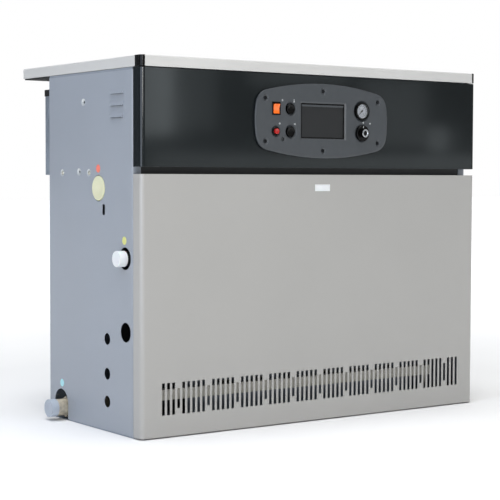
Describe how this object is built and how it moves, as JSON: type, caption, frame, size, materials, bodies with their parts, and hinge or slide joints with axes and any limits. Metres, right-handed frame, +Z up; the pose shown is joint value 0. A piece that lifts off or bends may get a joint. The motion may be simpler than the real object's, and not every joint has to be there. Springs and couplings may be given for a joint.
{
  "type": "atmospheric gas boiler with burner assembly",
  "caption": "Floor-standing cast-iron gas boiler: sheet-metal casing, lift-off grille door, glossy fascia with bowed control plate, burner set, gas line and rear draught hood.",
  "frame": {"origin": "on the floor under the middle of the lid, half way between the side panels", "axes": "+X to the right seen from the front, the door faces -Y, +Z up"},
  "size_m": [1.0465, 0.6225, 0.85],
  "materials": {
    "side_paint": "satin blue-grey powder coat",
    "door_paint": "satin warm silver-grey powder coat",
    "zinc": "bright zinc-coated sheet and die casting",
    "black_gloss": "moulded high gloss",
    "black_plastic": "fine moulded texture",
    "grey_plastic": "fine moulded texture",
    "blank_plastic": "fine moulded texture",
    "orange_plastic": "moulded, slightly clear",
    "red_plastic": "moulded, slightly clear",
    "white_plastic": "moulded",
    "cream_plastic": "moulded, yellowed",
    "pale_plastic": "moulded",
    "clear": "clear",
    "cast_iron": "as cast, sand textured",
    "steel": "dark drawn steel",
    "stainless": "pressed stainless sheet",
    "brass": "dull turned brass"
  },
  "bodies": {
    "boiler": {"base_pan": "zinc", "boiler_thermostat": "zinc", "burner_1": "stainless", "burner_2": "stainless", "burner_3": "stainless", "burner_4": "stainless", "burner_5": "stainless", "burner_6": "stainless", "burner_plate": "zinc", "control_box": "zinc", "control_fascia": "black_gloss", "control_plate": "grey_plastic", "door_catch_left": "white_plastic", "door_catch_right": "white_plastic", "drain_cock": "brass", "draught_hood": "zinc", "flow_cap": "cream_plastic", "flow_pipe": "steel", "flue_collector": "zinc", "flue_spigot": "zinc", "frame_post_left": "zinc", "frame_post_right": "zinc", "front_cross_rail": "black_plastic", "gas_cap": "white_plastic", "gas_manifold": "zinc", "gas_pipe": "steel", "gas_valve": "zinc", "gauge_case": "black_plastic", "gauge_lens": "clear", "limit_thermostats": "zinc", "lockout_bezel": "black_plastic", "pilot_burner": "steel", "rear_panel": "zinc", "regulator_blank": "blank_plastic", "return_cap": "pale_plastic", "return_pipe": "brass", "rocker_frame": "black_plastic", "section_1": "cast_iron", "section_2": "cast_iron", "section_3": "cast_iron", "section_4": "cast_iron", "section_5": "cast_iron", "section_6": "cast_iron", "section_7": "cast_iron", "side_panel_left": "side_paint", "side_panel_right": "side_paint", "tie_rod_lower": "steel", "tie_rod_upper": "steel"},
    "door": {"front_door": "door_paint", "door_badge": "white_plastic"},
    "lid": {"top_cover": "side_paint", "lid_corner_left": "black_plastic", "lid_corner_right": "black_plastic"},
    "rocker": {"rocker_switch": "orange_plastic"},
    "lockout": {"lockout_button": "red_plastic"},
    "upper_reset_cap": {"reset_cap_upper": "black_plastic"},
    "lower_reset_cap": {"reset_cap_lower": "black_plastic"},
    "needle": {"gauge_needle": "red_plastic"},
    "knob": {"thermostat_knob": "black_plastic"},
    "drain_screw_body": {"drain_screw": "black_plastic"}
  },
  "joints": [
    {"name": "door_pull_off", "type": "slide", "parent": "boiler", "child": "door", "axis": [0, -1, 0], "range_m": [0, 0.25]},
    {"name": "lid_lift_off", "type": "slide", "parent": "boiler", "child": "lid", "axis": [0, 0, 1], "range_m": [0, 0.2]},
    {"name": "rocker_tilt", "type": "hinge", "parent": "boiler", "child": "rocker", "pos_m": [-0.14, -0.2875, 0.7425], "axis": [1, 0, 0], "range_deg": [-14, 0]},
    {"name": "lockout_press", "type": "slide", "parent": "boiler", "child": "lockout", "axis": [0, 1, 0], "range_m": [0, 0.003], "stiffness_N_per_m": 400},
    {"name": "upper_reset_cap_turn", "type": "hinge", "parent": "boiler", "child": "upper_reset_cap", "pos_m": [-0.0965, -0.291, 0.7425], "axis": [0, -1, 0], "range_deg": [0, 360]},
    {"name": "lower_reset_cap_turn", "type": "hinge", "parent": "boiler", "child": "lower_reset_cap", "pos_m": [-0.0965, -0.291, 0.6895], "axis": [0, -1, 0], "range_deg": [0, 360]},
    {"name": "gauge_needle_turn", "type": "hinge", "parent": "boiler", "child": "needle", "pos_m": [0.1175, -0.2898, 0.7425], "axis": [0, 1, 0], "range_deg": [0, 270]},
    {"name": "thermostat_turn", "type": "hinge", "parent": "boiler", "child": "knob", "pos_m": [0.1175, -0.291, 0.6895], "axis": [0, 1, 0], "range_deg": [0, 270]},
    {"name": "drain_screw_turn", "type": "hinge", "parent": "boiler", "child": "drain_screw_body", "pos_m": [-0.462, 0.077, 0.0783], "axis": [0, 0, 1], "range_deg": [0, 360]}
  ]
}
